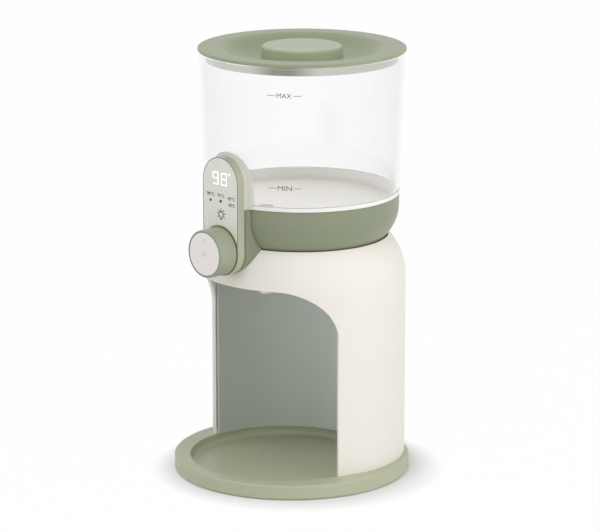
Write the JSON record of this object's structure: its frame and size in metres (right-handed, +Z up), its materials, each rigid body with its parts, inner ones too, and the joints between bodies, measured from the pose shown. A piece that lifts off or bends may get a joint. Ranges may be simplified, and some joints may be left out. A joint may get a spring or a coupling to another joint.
{
  "type": "baby formula maker",
  "caption": "Countertop water warmer for baby bottles: round base with a dish, arched bottle bay, lift-off glass jug with a heated floor and lid, control pod with a rotary knob.",
  "frame": {"origin": "centre of the round base on the surface that the feet stand on", "axes": "+Z up along the jug and body, -Y to the front where the knob is, +X to the viewer's right when facing the knob"},
  "size_m": [0.18, 0.1812, 0.3268],
  "materials": {
    "sage_plastic": "satin sage green",
    "pod_plastic": "glossy pale sage",
    "cream_plastic": "glossy warm cream",
    "liner_plastic": "satin grey green",
    "white_plastic": "plain white",
    "black_plastic": "plain black",
    "milky_plastic": "milky translucent",
    "fascia_plastic": "glossy tinted panel",
    "knob_face_plastic": "glossy warm grey",
    "display_plastic": "smoked",
    "board_green": "lacquered board",
    "foot_rubber": "matt dark grey",
    "silicone": "translucent silicone",
    "clear_glass": "clear polished",
    "steel": "brushed stainless",
    "skirt_metal": "satin grey green metal",
    "aluminium": "cast"
  },
  "bodies": {
    "stand": {"base_tray": "sage_plastic", "base_cover": "sage_plastic", "rubber_feet": "foot_rubber", "cover_screws": "steel", "body_screws": "steel", "body_shell": "cream_plastic", "bay_liner": "liner_plastic", "bay_ceiling": "liner_plastic", "nozzle": "white_plastic", "seat_deck": "cream_plastic", "deck_screws": "steel", "seat_port": "white_plastic", "port_seal": "silicone", "seat_coupler": "black_plastic", "solenoid_valve": "black_plastic", "main_board": "board_green", "board_parts": "black_plastic", "board_screws": "steel", "mains_inlet": "black_plastic", "pod_neck": "sage_plastic", "neck_screws": "steel", "pod_back": "pod_plastic", "light_diffuser": "milky_plastic", "pod_housing": "pod_plastic", "fascia": "fascia_plastic", "digit_display": "display_plastic", "display_board": "board_green", "knob_encoder": "black_plastic", "button_switch": "black_plastic"},
    "jug": {"jug_cup": "sage_plastic", "heated_floor": "steel", "heating_plate": "aluminium", "temperature_probe": "steel", "outlet_tube": "silicone", "valve_cage": "white_plastic", "jug_coupler": "black_plastic", "glass_gasket": "silicone", "jug_glass": "clear_glass"},
    "valve": {"outlet_valve": "white_plastic"},
    "lid": {"lid_shell": "sage_plastic", "lid_knob": "sage_plastic", "lid_screw": "steel", "lid_skirt": "skirt_metal", "lid_seal": "silicone"},
    "knob": {"knob_ring": "sage_plastic", "knob_clip": "steel"},
    "button": {"knob_button": "knob_face_plastic"}
  },
  "joints": [
    {"name": "jug_lift", "type": "slide", "parent": "stand", "child": "jug", "axis": [0, 0, 1], "range_m": [0, 0.12]},
    {"name": "valve_lift", "type": "slide", "parent": "jug", "child": "valve", "axis": [0, 0, 1], "range_m": [0, 0.003], "stiffness_N_per_m": 120, "springref_m": -0.004},
    {"name": "lid_lift", "type": "slide", "parent": "jug", "child": "lid", "axis": [0, 0, 1], "range_m": [0, 0.05]},
    {"name": "knob_spin", "type": "hinge", "parent": "stand", "child": "knob", "pos_m": [0, -0.08, 0.1823], "axis": [0, -1, 0], "continuous": true},
    {"name": "button_press", "type": "slide", "parent": "knob", "child": "button", "axis": [0, 1, 0], "range_m": [0, 0.0012], "stiffness_N_per_m": 600, "springref_m": -0.002}
  ]
}
